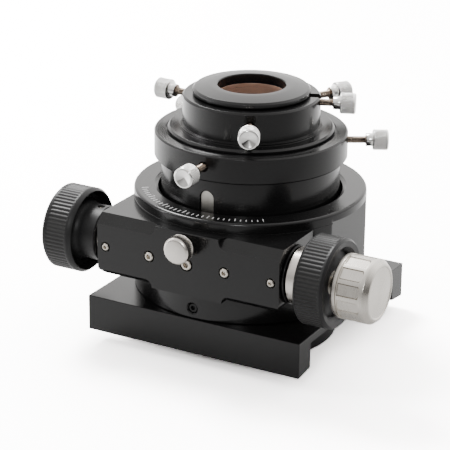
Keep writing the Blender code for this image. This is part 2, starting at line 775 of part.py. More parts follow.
def make_adapters():
    adapter = turned(
        "two_inch_adapter",
        [
            (31.3 * MM, 110.8 * MM),
            (32.17 * MM, 109.9 * MM),
            (32.17 * MM, 96.6 * MM),
            (33.3 * MM, 96.6 * MM),
            (33.3 * MM, 95.6 * MM),
            (38.1 * MM, 95.6 * MM),
            (39.0 * MM, 94.7 * MM),
            (39.0 * MM, 93.2 * MM),
            (38.05 * MM, 93.2 * MM),
            (38.05 * MM, 78.0 * MM),
            (TWO_INCH_BORE, 78.0 * MM),
            (TWO_INCH_BORE, 101.4 * MM),
            (27.3 * MM, 101.4 * MM),
            (27.3 * MM, 107.8 * MM),
            (TWO_INCH_BORE, 107.8 * MM),
            (TWO_INCH_BORE, 110.8 * MM),
        ],
        "black_anodised",
    )
    notch = box("screw_notch", (-2.8 * MM, 24 * MM, 104.9 * MM), (2.8 * MM, 36 * MM, 113 * MM))
    notch.rotation_euler = (0, 0, math.radians(SMALL_SCREW_AZIMUTH - 180))
    combine(adapter, notch)
    for name, azimuth, height, _, _ in THUMB_SCREWS:
        if name.startswith("eyepiece_screw"):
            drill(adapter, azimuth, height, 26 * MM, 36 * MM)
    notch_way = SMALL_SCREW_AZIMUTH
    split_ring("compression_ring_2in", 27.0 * MM, 25.55 * MM, 101.7 * MM, 107.5 * MM, notch_way, 7 * MM)
    small = turned(
        "small_adapter",
        [
            (20.3 * MM, 115.2 * MM),
            (26.5 * MM, 114.0 * MM),
            (27.5 * MM, 113.1 * MM),
            (27.5 * MM, 111.7 * MM),
            (27.0 * MM, 111.1 * MM),
            (25.2 * MM, 111.1 * MM),
            (25.2 * MM, 86.0 * MM),
            (SMALL_BORE, 86.0 * MM),
            (SMALL_BORE, 104.5 * MM),
            (17.6 * MM, 104.5 * MM),
            (17.6 * MM, 110.7 * MM),
            (SMALL_BORE, 110.7 * MM),
            (SMALL_BORE, 114.8 * MM),
            (SMALL_BORE + 0.4 * MM, 115.2 * MM),
        ],
        "black_anodised",
    )
    drill(small, SMALL_SCREW_AZIMUTH, SMALL_SCREW_Z, 16.8 * MM, 27 * MM)
    split_ring("compression_ring_small", 17.3 * MM, 15.9 * MM, 104.8 * MM, 110.4 * MM, 292, 2 * MM)


def make_thumb_screws():
    for name, azimuth, height, head_end, tip in THUMB_SCREWS:
        screw = turned(
            name,
            [
                (0, head_end - 1.5 * MM),
                (3.7 * MM, head_end),
                (4.4 * MM, head_end),
                (HEAD_RADIUS, head_end - 0.6 * MM),
                (HEAD_RADIUS, head_end - 6.7 * MM),
                (4.4 * MM, head_end - 7.25 * MM),
                (NECK_RADIUS, head_end - 7.25 * MM),
                (NECK_RADIUS, head_end - 10.5 * MM),
                (THREAD_RADIUS, head_end - 10.5 * MM),
                (THREAD_RADIUS, tip),
                (0, tip),
            ],
            "chrome",
            SMALL,
        )
        aim(screw, outward(azimuth), (0, 0, height))


def shade(angle=30):
    """Smooths the round faces of every piece and keeps its sharp edges. It settles the modifiers."""
    bpy.context.view_layer.update()
    graph = bpy.context.evaluated_depsgraph_get()
    settled = {}
    for obj in PARTS.objects:
        if obj.type == "MESH":
            settled[obj] = bpy.data.meshes.new_from_object(obj.evaluated_get(graph))
    for obj, mesh in settled.items():
        obj.modifiers.clear()
        obj.data = mesh
        mesh.shade_smooth()
        mesh.set_sharp_from_angle(angle=math.radians(angle))


make_base()
make_collar()
make_body()
make_front_screws()
make_bearings()
make_shaft_carrier()
make_end_caps()
make_coarse_drive()
make_reducer()
make_lock()
make_drawtube()
make_clamp_ring()
make_adapters()
make_thumb_screws()
shade()
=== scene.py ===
"""Looks of the dual-speed Crayford focuser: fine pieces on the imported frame, floor, light, camera.

Lengths in the code are in millimetres, measured from the optical axis at the height of the feet.
An azimuth of 0 points to the front (-Y), and 90 to the fine focus knob (+X).
"""

import json
import math

import bmesh
import bpy
from mathutils import Matrix, Vector


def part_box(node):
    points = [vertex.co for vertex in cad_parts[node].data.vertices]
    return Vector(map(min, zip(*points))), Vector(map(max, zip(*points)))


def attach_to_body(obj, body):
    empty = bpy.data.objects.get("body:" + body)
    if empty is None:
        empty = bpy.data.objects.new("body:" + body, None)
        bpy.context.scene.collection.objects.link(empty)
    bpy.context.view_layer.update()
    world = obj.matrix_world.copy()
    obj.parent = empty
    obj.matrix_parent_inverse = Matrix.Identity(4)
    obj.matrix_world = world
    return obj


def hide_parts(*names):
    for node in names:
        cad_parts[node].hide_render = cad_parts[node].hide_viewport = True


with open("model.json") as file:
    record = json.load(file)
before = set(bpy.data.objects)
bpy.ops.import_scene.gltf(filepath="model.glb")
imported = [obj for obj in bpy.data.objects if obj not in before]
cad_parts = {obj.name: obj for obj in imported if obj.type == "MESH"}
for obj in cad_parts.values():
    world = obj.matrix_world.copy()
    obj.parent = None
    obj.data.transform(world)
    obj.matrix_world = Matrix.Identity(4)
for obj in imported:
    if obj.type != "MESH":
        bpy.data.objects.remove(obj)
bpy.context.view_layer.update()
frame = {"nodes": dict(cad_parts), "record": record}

MM = 0.001
FRONT = Vector((0, -1, 0))
RIGHT = Vector((1, 0, 0))
UP = Vector((0, 0, 1))

# The drawtube gives the optical axis, and its lower end the height of the feet.
TUBE_BELOW_FEET = 6
TUBE_LOW, TUBE_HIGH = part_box("drawtube")
ORIGIN = Vector((
    (TUBE_LOW.x + TUBE_HIGH.x) / 2,
    (TUBE_LOW.y + TUBE_HIGH.y) / 2,
    TUBE_LOW.z + TUBE_BELOW_FEET * MM,
))

# Steps round a lathed piece: wide rings, discs, holes and small screws.
RING_STEPS, DISC_STEPS, HOLE_STEPS, SCREW_STEPS = 256, 192, 48, 40

DRIVE = Vector((0, -45.5, 45.8))
LOCK = Vector((0, 0, 55.5))
PLATE_BORE = 44.5
BOLT_CIRCLE = 51.9
BOLT_AZIMUTHS = (45, 135, 225, 315)
COLLAR_SCREW_Z = 22.2
RING_SCREW_Z = 88.0
TWO_INCH_SCREW_Z = 104.6
SMALL_SCREW_Z = 107.7
THIRDS = (0, 120, 240)
TWO_INCH_AZIMUTHS = (27, 147, 267)
NOTCH_AZIMUTH = 112

# The drive block's front, underside, top and half length.
BLOCK_FRONT, BLOCK_LOW, BLOCK_TOP, BLOCK_HALF = 60.4, 32.0, 61.0, 47.3

# Set screws in the block's front: name, place across, radius, body.
BLOCK_SCREWS = (
    ("bushing_screw_left", -43, 1.7, "focuser"),
    ("bushing_screw_right", 43, 1.7, "focuser"),
    ("carrier_screw_left", -19.6, 2.1, "focuser"),
    ("carrier_screw_right", 19.6, 2.1, "focuser"),
    ("tension_screw", 0, 2.6, "tension"),
)

# Thumb screws, each a body of its own: name, azimuth, height, and how far out its end and tip are.
RING_TIP, TWO_INCH_TIP, SMALL_TIP = 40.7, 27.4, 17.7
THUMB_SCREWS = (
    ("tube_screw_front", THIRDS[0], RING_SCREW_Z, 63.4, RING_TIP),
    ("tube_screw_right", THIRDS[1], RING_SCREW_Z, 64.3, RING_TIP),
    ("tube_screw_left", THIRDS[2], RING_SCREW_Z, 64.0, RING_TIP),
    ("eyepiece_screw_front", TWO_INCH_AZIMUTHS[0], TWO_INCH_SCREW_Z, 51.0, TWO_INCH_TIP),
    ("eyepiece_screw_right", TWO_INCH_AZIMUTHS[1], TWO_INCH_SCREW_Z, 52.6, TWO_INCH_TIP),
    ("eyepiece_screw_left", TWO_INCH_AZIMUTHS[2], TWO_INCH_SCREW_Z, 52.0, TWO_INCH_TIP),
    ("small_adapter_screw", NOTCH_AZIMUTH, SMALL_SCREW_Z, 48.5, SMALL_TIP),
)

# Ribs on the coarse knobs and the lock knob.
COARSE_RIBS, COARSE_RIB_DEPTH = 64, 0.34
LOCK_RIBS, LOCK_RIB_DEPTH = 48, 0.4
RIB_FADE = 0.25

pieces = []
cutters = []


# ---------------------------------------------------------------- modelling


def outward(azimuth):
    angle = math.radians(azimuth)
    return Vector((math.sin(angle), -math.cos(angle), 0))


def new_object(name, shape):
    bmesh.ops.recalc_face_normals(shape, faces=shape.faces)
    mesh = bpy.data.meshes.new(name)
    shape.to_mesh(mesh)
    shape.free()
    obj = bpy.data.objects.new(name, mesh)
    bpy.context.scene.collection.objects.link(obj)
    obj.matrix_world = Matrix.Translation(ORIGIN)
    return obj


def aim(obj, direction, location=(0, 0, 0)):
    """Turns the object's local Z to a direction and sets its place from the optical axis."""
    turn = Vector(direction).to_track_quat("Z", "Y").to_matrix().to_4x4()
    obj.matrix_world = Matrix.Translation(ORIGIN + Vector(location) * MM) @ turn
    return obj


def turn_by(obj, degrees, location=(0, 0, 0)):
    """Sets the object's rotation about X, Y and Z in that order, and its place."""
    x, y, z = (math.radians(angle) for angle in degrees)
    turn = Matrix.Rotation(z, 4, "Z") @ Matrix.Rotation(y, 4, "Y") @ Matrix.Rotation(x, 4, "X")
    obj.matrix_world = Matrix.Translation(ORIGIN + Vector(location) * MM) @ turn
    return obj


def soften(profile, radius=0.2, count=3, blunt=165):
    """Rounds the corners of a (radius, height) profile. Its ends on the axis stay as they are.

    A corner blunter than the given angle stays too.
    """
    closed = profile[0][0] > 0
    points = []
    for index, corner in enumerate(profile):
        if not closed and index in (0, len(profile) - 1):
            points.append(corner)
            continue
        here = Vector(corner)
        before = Vector(profile[index - 1]) - here
        after = Vector(profile[(index + 1) % len(profile)]) - here
        angle = before.angle(after)
        if angle > math.radians(blunt):
            points.append(corner)
            continue
        reach = min(radius / math.tan(angle / 2), 0.4 * before.length, 0.4 * after.length)
        start = here + before.normalized() * reach
        end = here + after.normalized() * reach
        for step in range(count + 1):
            t = step / count
            point = start * (1 - t) ** 2 + here * (2 * t * (1 - t)) + end * t ** 2
            points.append(tuple(point))
    return points


def lathe(name, profile, steps=DISC_STEPS, relief=None, thread_below=None, deepest=0.4):
    """Revolves a profile round local Z, closed if it is off the axis. relief adds to the radius.

    The mesh keeps how deep each point lies below the profile, so that the finish can paint shade into
    grooves, and which points belong to a bare thread.
    """
    shape = bmesh.new()
    groove = shape.verts.layers.float.new("groove") if relief else None
    thread = shape.verts.layers.float.new("thread") if thread_below else None
    rings = []
    for radius, height in profile:
        if radius == 0:
            rings.append([shape.verts.new((0, 0, height * MM))])
            continue
        ring = []
        for step in range(steps):
            angle = 2 * math.pi * step / steps
            reach = radius + (relief(angle, radius, height) if relief else 0)
            place = (reach * math.cos(angle) * MM, reach * math.sin(angle) * MM, height * MM)
            point = shape.verts.new(place)
            if relief:
                point[groove] = min(1, (radius - reach) / deepest)
            if thread_below:
                point[thread] = 1 if height < thread_below else 0
            ring.append(point)
        rings.append(ring)
    pairs = list(zip(rings, rings[1:]))
    if profile[0][0] > 0:
        pairs.append((rings[-1], rings[0]))
    for upper, lower in pairs:
        for step in range(steps):
            after = (step + 1) % steps
            if len(upper) == 1:
                shape.faces.new((upper[0], lower[step], lower[after]))
            elif len(lower) == 1:
                shape.faces.new((upper[step], lower[0], upper[after]))
            else:
                shape.faces.new((upper[step], lower[step], lower[after], upper[after]))
    return new_object(name, shape)


def rod(radius, low, high, steps=HOLE_STEPS):
    return lathe("rod", [(0, high), (radius, high), (radius, low), (0, low)], steps)


def add_prism(shape, outline, low, high):
    """Adds an upright prism on a flat outline of (x, y) points, between two heights."""
    under = [shape.verts.new((x * MM, y * MM, low * MM)) for x, y in outline]
    over = [shape.verts.new((x * MM, y * MM, high * MM)) for x, y in outline]
    shape.faces.new(under)
    shape.faces.new(over)
    for index in range(len(outline)):
        shape.faces.new((under[index - 1], under[index], over[index], over[index - 1]))


def slab(name, outline, thickness):
    """A flat outline of (x, y) points, with its thickness half on each side of local Z = 0."""
    shape = bmesh.new()
    add_prism(shape, outline, -thickness / 2, thickness / 2)
    return new_object(name, shape)


def upright_slab(name, outline, inner, outer):
    """A slab whose outline stands in the XZ plane, between two distances in front of the axis."""
    return turn_by(slab(name, outline, outer - inner), (90, 0, 0), (0, -(inner + outer) / 2, 0))


def arc(centre, radius, start, end, count):
    angles = [math.radians(start + (end - start) * i / (count - 1)) for i in range(count)]
    return [(centre[0] + radius * math.cos(a), centre[1] + radius * math.sin(a)) for a in angles]


def slot_outline(half_width, low, top):
    """A slot with a square lower end and a round top."""
    round_top = arc((0, top - half_width), half_width, 0, 180, 25)
    return [(-half_width, low), (half_width, low)] + round_top


def combine(obj, other, operation="DIFFERENCE"):
    """Cuts the other object from this one, or joins it. settle() applies it and drops the other."""
    modifier = obj.modifiers.new(operation.lower(), "BOOLEAN")
    modifier.operation = operation
    modifier.solver = "EXACT"
    modifier.object = other
    other.hide_render = True
    cutters.append(other)
    return obj


def bevel(obj, width):
    modifier = obj.modifiers.new("edges", "BEVEL")
    modifier.width = width * MM
    modifier.segments = 2
    modifier.limit_method = "ANGLE"
    modifier.angle_limit = math.radians(40)
    return obj


def piece(obj, node, body, slot, look, sharp=35):
    """Books an object as the piece that stands for a CAD node."""
    obj.name = node + "_visual"
    pieces.append((obj, node, body, slot, look, sharp))


# ---------------------------------------------------------------- materials


def attach(tree, value, socket):
    """Links another node's output to a socket, or sets a constant on it."""
    if isinstance(value, bpy.types.NodeSocket):
        tree.links.new(value, socket)
    else:
        socket.default_value = value


def noise(tree, vector, scale, detail):
    texture = tree.nodes.new("ShaderNodeTexNoise")
    texture.inputs["Scale"].default_value = scale
    texture.inputs["Detail"].default_value = detail
    tree.links.new(vector, texture.inputs["Vector"])
    return texture.outputs["Fac"]


def attribute(tree, name):
    node = tree.nodes.new("ShaderNodeAttribute")
    node.attribute_name = name
    return node.outputs["Fac"]


def calculate(tree, operation, *values):
    node = tree.nodes.new("ShaderNodeMath")
    node.operation = operation
    for value, socket in zip(values, node.inputs):
        attach(tree, value, socket)
    return node.outputs[0]


def map_range(tree, value, low, high, to_low, to_high, interpolation="LINEAR"):
    node = tree.nodes.new("ShaderNodeMapRange")
    node.interpolation_type = interpolation
    for number, socket in zip((value, low, high, to_low, to_high), node.inputs):
        attach(tree, number, socket)
    return node.outputs[0]


def blend(tree, amount, first, second, kind="RGBA"):
    node = tree.nodes.new("ShaderNodeMix")
    node.data_type = kind
    attach(tree, amount, node.inputs["Factor"])
    attach(tree, first, node.inputs["A"])
    attach(tree, second, node.inputs["B"])
    return node.outputs["Result"]


def ring_coordinates(tree, place):
    """Distance from local Z and height on it, so that noise in them makes turning marks."""
    split = tree.nodes.new("ShaderNodeSeparateXYZ")
    tree.links.new(place, split.inputs[0])
    flat = tree.nodes.new("ShaderNodeCombineXYZ")
    tree.links.new(split.outputs["X"], flat.inputs["X"])
    tree.links.new(split.outputs["Y"], flat.inputs["Y"])
    length = tree.nodes.new("ShaderNodeVectorMath")
    length.operation = "LENGTH"
    tree.links.new(flat.outputs[0], length.inputs[0])
    along = tree.nodes.new("ShaderNodeCombineXYZ")
    tree.links.new(length.outputs["Value"], along.inputs["X"])
    tree.links.new(split.outputs["Z"], along.inputs["Z"])
    return along.outputs[0]


FINE_GRAIN_SCALE, CLOUD_SCALE = 9000, 90
FINE_GRAIN_SHARE = 0.35
# Near black for the painted shade in deep grooves.
GROOVE_SHADE_COLOUR = (0.03, 0.028, 0.026, 1)


def finish(name, colour, metallic, roughness, spread=0.08, rings=True, grain=3500, bump=0.006,
           clouds=0.12, anisotropy=0.0, specular=0.5, thread=None,
           groove_shade=0.0, shade_from=0.1, shade_full=0.9):
    """A surface with turning marks or a fine even grain, and slightly cloudy colour and gloss.

    thread is the colour of the points that lathe() marks as a bare thread. The last three arguments
    paint
    shade into the grooves that it marks: how dark, and between which two depths it grows.
    """
    material = bpy.data.materials.new(name)
    material.use_nodes = True
    tree = material.node_tree
    shader = tree.nodes["Principled BSDF"]
    shader.inputs["Metallic"].default_value = metallic
    shader.inputs["Specular IOR Level"].default_value = specular
    shader.inputs["Anisotropic"].default_value = anisotropy
    place = tree.nodes.new("ShaderNodeTexCoord").outputs["Object"]
    marks = noise(tree, ring_coordinates(tree, place) if rings else place, grain, 2)
    fine = noise(tree, place, FINE_GRAIN_SCALE, 2)
    cloud = noise(tree, place, CLOUD_SCALE, 4)

    unevenness = calculate(tree, "ADD", marks, cloud)
    gloss = map_range(tree, unevenness, 0.6, 1.4, roughness - spread, roughness + spread)
    tree.links.new(gloss, shader.inputs["Roughness"])

    darker = (*(c * (1 - clouds) for c in colour), 1)
    lighter = (*(c * (1 + clouds) for c in colour), 1)
    surface = blend(tree, map_range(tree, cloud, 0.3, 0.7, 0, 1), darker, lighter)
    if thread:
        surface = blend(tree, attribute(tree, "thread"), surface, (*thread, 1))
    # Painted shade: the deeper a point lies in a groove, the nearer its colour goes to near black,
    # standing in for the shadow in the groove.
    if groove_shade:
        amount = map_range(tree, attribute(tree, "groove"), shade_from, shade_full, 0, groove_shade)
        surface = blend(tree, amount, surface, GROOVE_SHADE_COLOUR)
    tree.links.new(surface, shader.inputs["Base Color"])

    bumps = tree.nodes.new("ShaderNodeBump")
    bumps.inputs["Strength"].default_value = 0.6
    bumps.inputs["Distance"].default_value = bump * MM
    relief = calculate(tree, "MULTIPLY_ADD", fine, FINE_GRAIN_SHARE, marks)
    tree.links.new(relief, bumps.inputs["Height"])
    tree.links.new(bumps.outputs["Normal"], shader.inputs["Normal"])
    return material


BLACK = (0.006, 0.006, 0.0062)
KNOB_BLACK = (0.011, 0.011, 0.0115)
THREAD_STEEL = (0.26, 0.21, 0.17)
# Some finishes below paint shade into the ribs, knurls and threads that lathe() marks as grooves;
# fine_silver only into the thin grooves along the fine knob's panel edges.
FINISHES = {
    "anodised": finish("anodised", BLACK, 0, 0.2, 0.03, grain=2200, bump=0.0012, specular=0.38),
    "anodised_plate": finish("anodised_plate", BLACK, 0, 0.24, 0.03, rings=False, grain=2500,
                             bump=0.0015, specular=0.38),
    "knob_black": finish("knob_black", KNOB_BLACK, 0, 0.42, 0.05, bump=0.004, specular=0.32,
                         groove_shade=0.5),
    "silver": finish("silver", (0.76, 0.72, 0.67), 1, 0.25, 0.05, anisotropy=0.6, clouds=0.03,
                     groove_shade=0.5),
    "fine_silver": finish("fine_silver", (0.70, 0.665, 0.61), 1, 0.28, 0.05, bump=0.003,
                          anisotropy=0.5, clouds=0.03, groove_shade=0.85, shade_from=0.5, shade_full=0.62),
    "chrome": finish("chrome", (0.97, 0.96, 0.94), 1, 0.14, 0.03, bump=0.001, clouds=0.02,
                     thread=THREAD_STEEL, groove_shade=0.85, shade_from=0.3),
    "steel": finish("steel", (0.62, 0.58, 0.52), 1, 0.28, clouds=0.1, groove_shade=0.8),
    "strip": finish("strip", (0.56, 0.54, 0.50), 1, 0.36, rings=False, grain=1800, bump=0.008),
    "brass": finish("brass", (0.88, 0.58, 0.45), 0.75, 0.3, 0.05, clouds=0.06),
    "bronze": finish("bronze", (0.50, 0.33, 0.18), 1, 0.45, bump=0.02),
    "nylon": finish("nylon", (0.80, 0.79, 0.74), 0, 0.5, bump=0.01, clouds=0.03),
    "paint": finish("paint", (0.75, 0.75, 0.75), 0, 0.5, rings=False, bump=0.004, clouds=0.05),
}

# The finish of the CAD nodes that stay, by their slot in the record.
CAD_FINISHES = {
    "black_anodised": "anodised",
    "black_matte": "knob_black",
    "silver": "silver",
    "chrome": "chrome",
    "steel": "steel",
    "brass": "brass",
    "bronze": "bronze",
    "nylon": "nylon",
}


# ---------------------------------------------------------------- base and body


def hex_socket(width, depth, end):
    """A cutter for a hexagonal socket with a conical floor. Its mouth is at a height on local Z."""
    radius = width / math.sqrt(3)
    floor = end - depth
    points = [(0, end + 1), (radius, end + 1), (radius, floor), (0, floor - radius * 0.5)]
    return lathe("socket", points, 6)


def set_screw(node, body, slot, look, radius, tip, end, direction, place, cone=False):
    """A socket set screw: chamfered end, hexagonal socket, threaded shank, plain or conical tip."""
    pitch, depth, chamfer, row = 0.6, 0.16, 0.35, 0.15
    thread_top = end - 2 * chamfer

    def thread(angle, at_radius, height):
        if at_radius < radius - 0.01 or height > thread_top:
            return 0
        turn = (height / pitch + angle / (2 * math.pi)) % 1
        return -depth * abs(2 * turn - 1)

    rows = [(0, end), (radius - chamfer, end), (radius, end - chamfer)]
    height = thread_top
    foot = tip + (1.6 if cone else 0.4)
    while height > foot:
        rows.append((radius, height))
        height -= row
    rows += [(0.5 if cone else radius - 0.4, tip), (0, tip)]
    screw = aim(lathe(node, rows, SCREW_STEPS, thread), direction, place)
    combine(screw, aim(hex_socket(radius * 1.05, radius * 0.9, end), direction, place))
    piece(screw, node, body, slot, look, 40)


def make_base():
    """The square plate on its two slanting legs, and the bolts that hold the collar to it."""
    half, inner, slant, under, top = 55.8, 44.1, 1.4, 13.5, 17.3
    outline = [(-half, 0), (-inner, slant), (-inner, under), (inner, under), (inner, slant)]
    outline += [(half, 0), (half, top), (-half, top)]
    base = bevel(turn_by(slab("saddle_base", outline, 2 * half), (90, 0, 90)), 0.35)
    combine(base, rod(PLATE_BORE, 10, 20, DISC_STEPS))
    bolt_places = [outward(azimuth) * BOLT_CIRCLE for azimuth in BOLT_AZIMUTHS]
    for place in bolt_places:
        hole = [(0, 20), (1.55, 20), (1.55, 15.4), (2.7, 13.9), (2.7, 12), (0, 12)]
        combine(base, aim(lathe("bolt_hole", hole, SCREW_STEPS), UP, place))
    hole_x, hole_y = 46, 50
    for x in (-hole_x, hole_x):
        for y in (-hole_y, hole_y):
            hole = [(0, 10), (1.65, 9), (1.65, 1.6), (2.3, 0.6), (2.3, -2), (0, -2)]
            combine(base, aim(lathe("saddle_hole", hole, SCREW_STEPS), UP, (x, y, 0)))
    piece(base, "saddle_base", "base", "black_anodised", "anodised_plate")
    for number, place in enumerate(bolt_places, 1):
        profile = [(0, 23.5), (1.25, 23.3), (1.25, 15.1), (2.35, 13.95), (2.4, 13.7), (0, 13.7)]
        bolt = aim(lathe("bolt", profile, SCREW_STEPS), UP, place)
        socket = [(0, 15.2), (1.0, 15.0), (1.0, 12.7), (0, 12.7)]
        combine(bolt, aim(lathe("socket", socket, 6), UP, place))
        piece(bolt, "base_bolt_%d" % number, "base", "steel", "steel")


def make_collar():
    """The low collar in which the body turns, with its three set screws."""
    profile = [(54.3, 30.3), (54.8, 29.8), (54.8, 17.6), (PLATE_BORE, 17.6), (PLATE_BORE, 19.6)]
    profile += [(49, 19.6), (49, 30.3)]
    collar = lathe("collar", soften(profile, 0.3), RING_STEPS)
    place = (0, 0, COLLAR_SCREW_Z)
    for number, azimuth in enumerate(THIRDS, 1):
        way = outward(azimuth)
        hole = [(0, 58), (3.0, 58), (3.0, 54.7), (2.5, 54.2), (2.5, 46), (0, 46)]
        combine(collar, aim(lathe("screw_hole", hole, HOLE_STEPS), way, place))
        set_screw("collar_screw_%d" % number, "base", "black_anodised", "knob_black",
                  2.2, 47.4, 54.0, way, place, True)
    piece(collar, "pivot_collar", "base", "black_anodised", "anodised")


def add_drive_block(body):
    """The block across the body's front: bevelled top edge, rounded ends, and an apron below."""
    front, low, top, half = BLOCK_FRONT, BLOCK_LOW, BLOCK_TOP, BLOCK_HALF
    back, chamfer, edge = 25, 2.3, 0.4
    section = [(-front, low + chamfer), (-front + chamfer, low), (-back, low), (-back, top)]
    section += [(-front + edge, top), (-front, top - edge)]
    combine(body, turn_by(slab("block", section, 2 * half), (90, 0, 90)), "UNION")

    fillet, under, high = 3.7, 30.6, low + chamfer
    outer = 18.2 + fillet
    apron = arc((-outer, under), fillet, 90, 0, 16) + arc((outer, under), fillet, 180, 90, 16)
    apron += [(outer, high + 3), (-outer, high + 3)]
    combine(body, upright_slab("apron", apron, 45.6, front), "UNION")

    bevel_depth, bevel_start, bevel_end, thickness = 2.2, 19.5, 52.3, 8
    past = thickness / 2 / math.sqrt(2)
    width = 2 * bevel_depth * math.sqrt(2)
    corner = 4
    for side in (-1, 1):
        outline = [(bevel_end, -width / 2)] + arc((bevel_start, 0), width / 2, 270, 90, 25)
        outline.append((bevel_end, width / 2))
        cutter = slab("bevel_cutter", [(side * x, y) for x, y in outline], thickness)
        place = (0, -front + bevel_depth - past, top - bevel_depth + past)
        combine(body, turn_by(cutter, (45, 0, 0), place))
        x, z = half - corner, low + corner
        outline = [(x, low - 1), (half + 1, low - 1), (half + 1, z)]
        outline += arc((x, z), corner, 0, -90, 13)
        cutter = upright_slab("corner_cutter", [(side * u, v) for u, v in outline], 20, 70)
        combine(body, cutter)


def cut_body_holes(body):
    """The tube's bore, the shaft's bore, the bearings' pockets and axles, and the screw holes."""
    bore = [(0, 67.4), (45.2, 67.4), (45.2, 66.2), (43.6, 65.4), (43.6, 15), (0, 15)]
    combine(body, lathe("bore", bore, RING_STEPS))
    shaft_bore, lock_bore, pad_bore = 6.5, 2.3, 2.7
    combine(body, aim(rod(shaft_bore, -60, 60, 64), RIGHT, DRIVE))
    bearing_circle, bearing_heights = 47.21, (37.5, 56.5)
    pocket, pocket_half, axle_bore = 5.8, 2.45, 1.8
    for azimuth, side in ((145, -1), (215, 1)):
        tangent = outward(azimuth).cross(UP) * -side
        for height in bearing_heights:
            centre = outward(azimuth) * bearing_circle + UP * height
            combine(body, aim(rod(pocket, -pocket_half, pocket_half), tangent, centre))
            combine(body, aim(rod(axle_bore, -6.1, 32, 32), tangent, centre))
    for _, x, radius, _ in BLOCK_SCREWS:
        mouth, wall = radius + 0.75, radius + 0.3
        hole = [(0, 62), (mouth, 62), (mouth, 60.3), (wall, 59.9), (wall, 45.5), (0, 45.5)]
        combine(body, aim(lathe("screw_hole", hole, HOLE_STEPS), FRONT, (x, 0, DRIVE.z)))
    combine(body, aim(rod(lock_bore, 40, 62), FRONT, LOCK))
    combine(body, aim(rod(pad_bore, 40, 47.9), FRONT, LOCK))


def make_body():
    profile = [(0, 66.4), (52.9, 66.4)] + arc((53.4, 64.9), 1.53, 80, 5, 8)
    profile += [(54.93, 61.9), (54.72, 61.75), (54.72, 61.45), (54.93, 61.3), (54.93, 31.1)]
    profile += [(54.5, 30.7), (48.5, 30.7), (48.5, 24.6), (46.9, 23.0), (46.9, 21.4)]
    profile += [(48.5, 20.2), (48.5, 19.9), (0, 19.9)]
    body = lathe("focuser_body", profile, RING_STEPS)
    flat_place, flat_cut, half, low, high = 52, 6, 40, 20, 62.4
    for side in (-1, 1):
        flat = slab("flat", [(-half, low), (half, low), (half, high), (-half, high)], flat_cut)
        combine(body, turn_by(flat, (90, 0, 90), (side * (flat_place + flat_cut / 2), 0, 0)))
    add_drive_block(body)
    cut_body_holes(body)
    piece(body, "focuser_body", "focuser", "black_anodised", "anodised", 28)


def make_marks():
    """A plain scale of white marks on the body's top ring, every fifth one longer."""
    count, first, between = 31, -52, 2.9
    outer, short, long, half_width = 51.6, 49.4, 48.4, 0.22
    low, high = 66.35, 66.43
    shape = bmesh.new()
    for index in range(count):
        azimuth = math.radians(first + index * between)
        inner = long if index % 5 == 0 else short
        corners = []
        for radius, across in ((inner, -half_width), (inner, half_width),
                               (outer, half_width), (outer, -half_width)):
            x = math.sin(azimuth) * radius + math.cos(azimuth) * across
            y = -math.cos(azimuth) * radius + math.sin(azimuth) * across
            corners.append((x, y))
        add_prism(shape, corners, low, high)
    marks = new_object("ring_scale_marks", shape)
    marks.data.materials.append(FINISHES["paint"])
    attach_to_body(marks, "focuser")


# ---------------------------------------------------------------- drive


def ribbed(count, depth, low, high, inner):
    """Straight ribs on a knob's rim, between two heights."""

    def relief(angle, radius, height):
        if radius < inner or height < low or height > high:
            return 0
        wave = 0.5 + 0.5 * math.cos(count * angle)
        fade = min(1, (height - low) / RIB_FADE, (high - height) / RIB_FADE)
        return -depth * (1 - wave ** 0.6) * fade

    return relief


def band(radius, low, high):
    """Profile points down a ribbed rim, with extra rows where its ribs begin and end."""
    heights = (high, high - RIB_FADE, (low + high) / 2, low + RIB_FADE, low)
    return [(radius, height) for height in heights]


def make_coarse_knobs():
    steps = COARSE_RIBS * 8
    rim, low, high = 20.2, 62.6, 72.6
    profile = [(0, 72.8), (13.5, 72.8), (15.6, 75.3), (rim - 1.1, 75.3), (rim, 74.2)]
    profile = soften(profile, 0.25)[:-1] + [(rim, 74.2)] + band(rim, low, high)
    profile += [(rim, 61.2), (rim - 1.3, 59.6), (17.8, 63.6), (15.2, 63.6), (13.4, 60.6)]
    profile += [(13.0, 58.6), (13.0, 51.3), (12.6, 50.9), (3.4, 50.9), (3.4, 71.4), (0, 71.4)]
    ribs = ribbed(COARSE_RIBS, COARSE_RIB_DEPTH, low, high, rim - 0.05)
    left = aim(lathe("coarse_left", profile, steps, ribs), -RIGHT, DRIVE)
    spot = DRIVE - RIGHT * 54.4
    hole = [(0, 14), (1.8, 14), (1.8, 3), (0, 3)]
    combine(left, aim(lathe("grub_hole", hole, SCREW_STEPS), UP, spot))
    piece(left, "coarse_knob_left", "coarse_drive", "black_matte", "knob_black", 40)
    set_screw("knob_grub_left", "coarse_drive", "steel", "steel", 1.5, 3.6, 12.0, UP, spot)

    rim, low, high = 20.6, 57.7, 68.6
    profile = [(17.0, 70.5), (rim - 1.1, 70.7), (rim, 69.6)] + band(rim, low, high)
    profile += [(rim, 57.3), (rim - 1.0, 56.3), (14.2, 56.3), (14.2, 62.0), (5.8, 62.0)]
    profile += [(5.8, 66.8), (15.2, 66.8), (15.2, 68.7)]
    ribs = ribbed(COARSE_RIBS, COARSE_RIB_DEPTH, low, high, rim - 0.05)
    right = aim(lathe("coarse_right", profile, steps, ribs), RIGHT, DRIVE)
    piece(right, "coarse_knob_right", "coarse_drive", "black_matte", "knob_black", 40)


